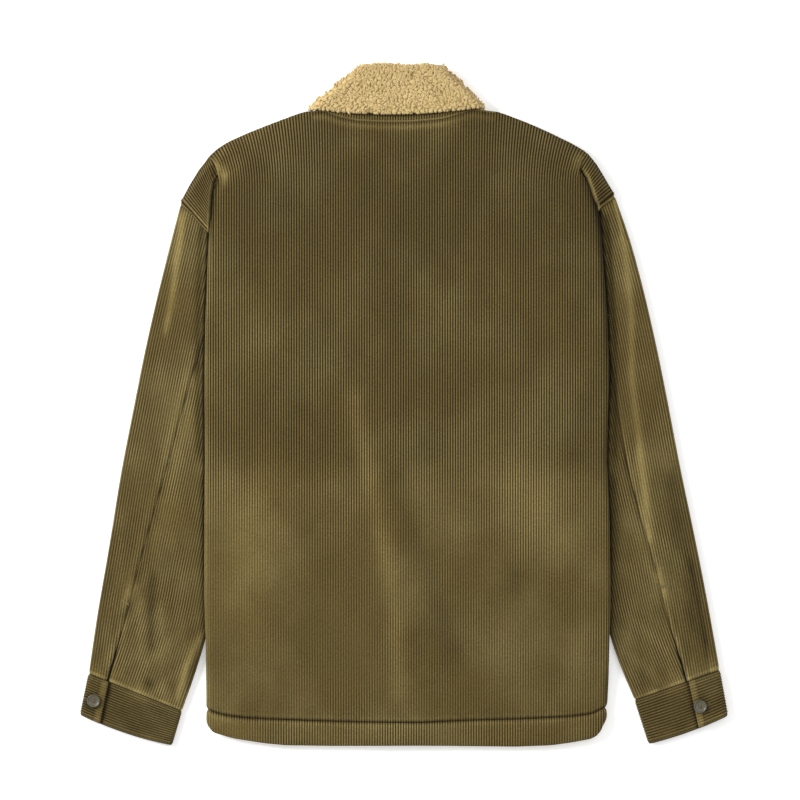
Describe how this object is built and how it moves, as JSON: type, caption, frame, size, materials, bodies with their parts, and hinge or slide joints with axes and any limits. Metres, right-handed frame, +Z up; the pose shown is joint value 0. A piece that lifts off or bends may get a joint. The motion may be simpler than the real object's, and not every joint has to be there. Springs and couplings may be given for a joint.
{
  "type": "sherpa lined jacket",
  "caption": "Olive corduroy overshirt jacket with a tan sherpa collar, laid out flat with its back up and its sides folded under over the sleeves.",
  "frame": {"origin": "centre of the bounding box at the surface that the jacket lies on", "axes": "+Z up from the surface, +Y from the hem to the collar, +X to the right of the laid garment seen from above"},
  "size_m": [0.7663, 0.8052, 0.0248],
  "materials": {
    "corduroy": "matte",
    "sherpa": "matte",
    "horn": "satin"
  },
  "bodies": {
    "root": {"back": "corduroy", "hem_back": "corduroy", "front_left": "corduroy", "front_right": "corduroy", "hem_front_left": "corduroy", "hem_front_right": "corduroy", "sleeve_left_upper": "corduroy", "sleeve_left_under": "corduroy", "sleeve_right_upper": "corduroy", "sleeve_right_under": "corduroy", "cuff_left": "corduroy", "cuff_right": "corduroy", "collar_stand": "corduroy", "collar_fall": "sherpa", "button_cuff_left": "horn", "button_cuff_right": "horn", "button_front_1": "horn", "button_front_2": "horn", "button_front_3": "horn", "button_front_4": "horn", "button_front_5": "horn", "button_front_6": "horn"}
  },
  "joints": []
}
